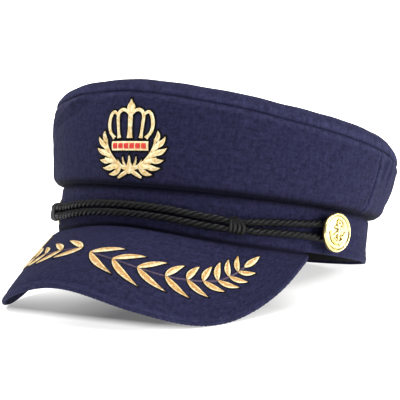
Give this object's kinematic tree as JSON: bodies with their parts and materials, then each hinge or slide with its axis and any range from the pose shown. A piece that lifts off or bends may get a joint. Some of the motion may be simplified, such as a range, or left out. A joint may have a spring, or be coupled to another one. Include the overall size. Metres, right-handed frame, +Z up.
{
  "type": "sailor cap",
  "caption": "Cloth peaked cap with a flared flat-topped crown, a doubled twisted cord between side buttons and embroidered gold trim.",
  "frame": {"origin": "middle of the cap's bounding box, on the surface it lies on", "axes": "+Z up, the peak points along -Y and the wearer's left is +X; the cap lies as it comes to rest, tipped back on its peak's corners and the back of its band"},
  "size_m": [0.208, 0.2778, 0.13],
  "materials": {
    "navy_cloth": "matt woven navy cloth",
    "black_band": "matt black ribbed ribbon",
    "black_cord": "black twisted cord with a soft sheen",
    "gold_thread": "glossy gold embroidery thread",
    "red_thread": "glossy red embroidery thread",
    "gold_metal": "polished pale gold"
  },
  "bodies": {
    "root": {"crown_top": "navy_cloth", "crown_side_front": "navy_cloth", "crown_side_back": "navy_cloth", "headband": "navy_cloth", "peak": "navy_cloth", "sweatband": "black_band", "band_cord": "black_cord", "knot_left": "black_cord", "knot_right": "black_cord", "button_left": "gold_metal", "button_right": "gold_metal", "badge_crown": "gold_thread", "badge_band": "gold_thread", "badge_wreath": "gold_thread", "badge_jewel_1": "red_thread", "badge_jewel_2": "red_thread", "badge_jewel_3": "red_thread", "badge_jewel_4": "red_thread", "badge_jewel_5": "red_thread", "badge_jewel_6": "red_thread", "peak_branch_left": "gold_thread", "peak_branch_right": "gold_thread"}
  },
  "joints": []
}
